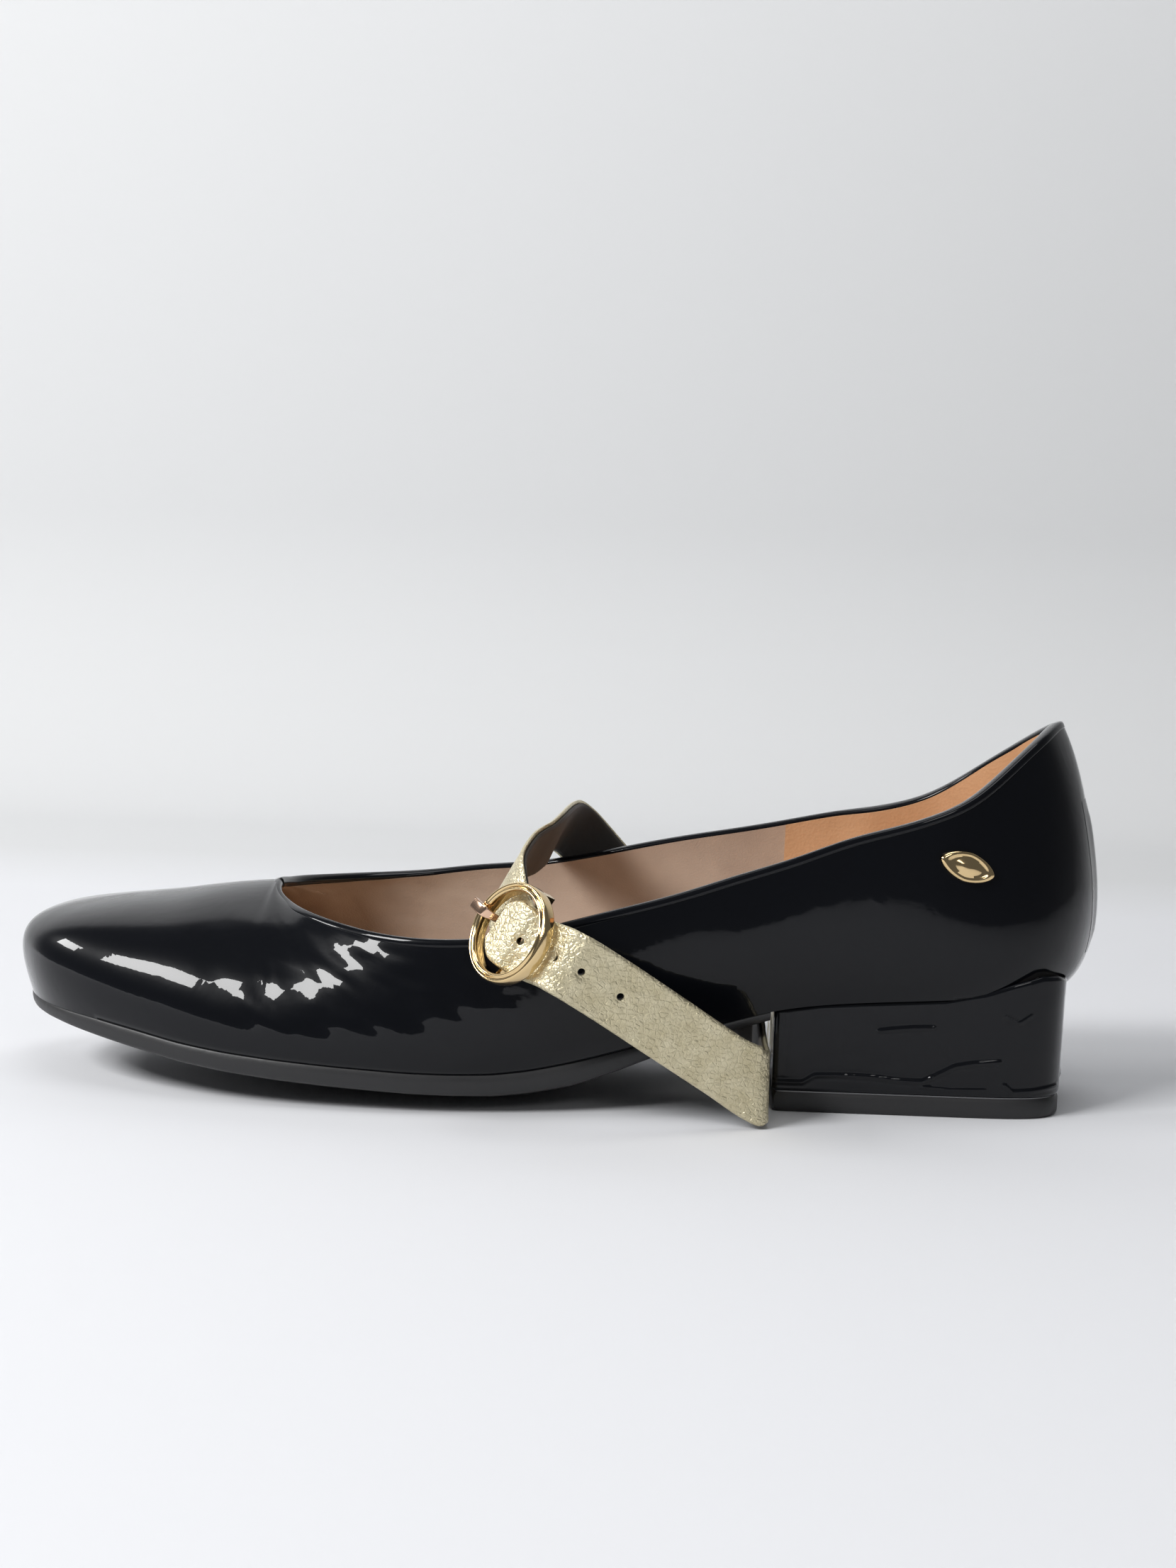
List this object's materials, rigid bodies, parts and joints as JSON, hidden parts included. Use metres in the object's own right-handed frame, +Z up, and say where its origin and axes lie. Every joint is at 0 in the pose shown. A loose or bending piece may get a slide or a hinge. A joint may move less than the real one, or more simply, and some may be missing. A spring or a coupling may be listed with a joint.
{
  "type": "strap pump shoe",
  "caption": "Left low block-heel patent pump with a slim gold instep strap, buckle and small side badge.",
  "frame": {"origin": "on the floor, under the middle of the whole part's bounding box", "axes": "+X from toe to heel, +Y towards the inner (medial) side, +Z up; the ball of the sole and the heel top piece rest on z = 0"},
  "size_m": [0.2576, 0.1022, 0.09],
  "materials": {
    "patent_leather": "mirror-gloss patent, near black, finely wrinkled at the vamp sides",
    "textile_lining": "matte beige-brown woven lining",
    "tan_lining": "semi-matte tan lining leather",
    "sock_leather": "matte tan sock leather",
    "stiffener": "matte pressed stiffener",
    "sole_rubber": "satin-matte charcoal rubber",
    "filler_foam": "matte pressed felt",
    "shank_steel": "plain steel",
    "board": "pressed cellulose board",
    "pad_foam": "soft latex foam",
    "heel_plastic": "matte moulded plastic",
    "gold_leather": "metallic champagne-gold leather, fine pebbled grain",
    "strap_lining_leather": "matte dark strap lining",
    "gold_metal": "polished rose gold plating"
  },
  "bodies": {
    "shoe": {"upper_shell": "patent_leather", "vamp_lining": "textile_lining", "quarter_lining": "tan_lining", "toe_puff": "stiffener", "heel_counter": "stiffener", "back_stay": "patent_leather", "topline_binding": "patent_leather", "outsole": "sole_rubber", "bottom_filler": "filler_foam", "shank": "shank_steel", "insole_board": "board", "sock_liner": "sock_leather", "heel_pad": "pad_foam", "heel_block": "heel_plastic", "heel_cover": "patent_leather", "top_piece": "sole_rubber", "top_piece_pin_1": "shank_steel", "top_piece_pin_2": "shank_steel", "heel_screw": "shank_steel", "heel_nail_1": "shank_steel", "heel_nail_2": "shank_steel", "heel_nail_3": "shank_steel", "heel_nail_4": "shank_steel", "badge": "gold_metal", "strap_outer": "gold_leather", "strap_lining": "strap_lining_leather"},
    "strap_tip": {"strap_tail": "gold_leather", "strap_tail_lining": "strap_lining_leather"},
    "buckle": {"buckle_frame": "gold_metal"},
    "prong": {"buckle_prong": "gold_metal"}
  },
  "joints": [
    {"name": "tail_lift", "type": "hinge", "parent": "shoe", "child": "strap_tip", "pos_m": [-0.00085, -0.04431, 0.03962], "axis": [0.5275, 0.0001, 0.8496], "range_deg": [0, 34]},
    {"name": "buckle_pivot", "type": "hinge", "parent": "shoe", "child": "buckle", "pos_m": [-0.0037, -0.03924, 0.04139], "axis": [0.5275, 0.0001, 0.8496], "range_deg": [-2, 1]},
    {"name": "prong_pivot", "type": "hinge", "parent": "buckle", "child": "prong", "pos_m": [-0.0037, -0.03924, 0.04139], "axis": [0.5275, 0.0001, 0.8496], "range_deg": [0, 20.4]}
  ],
  "couplings": [
    {"joint": "prong_pivot", "follows": "tail_lift", "ratio": 0.6}
  ]
}
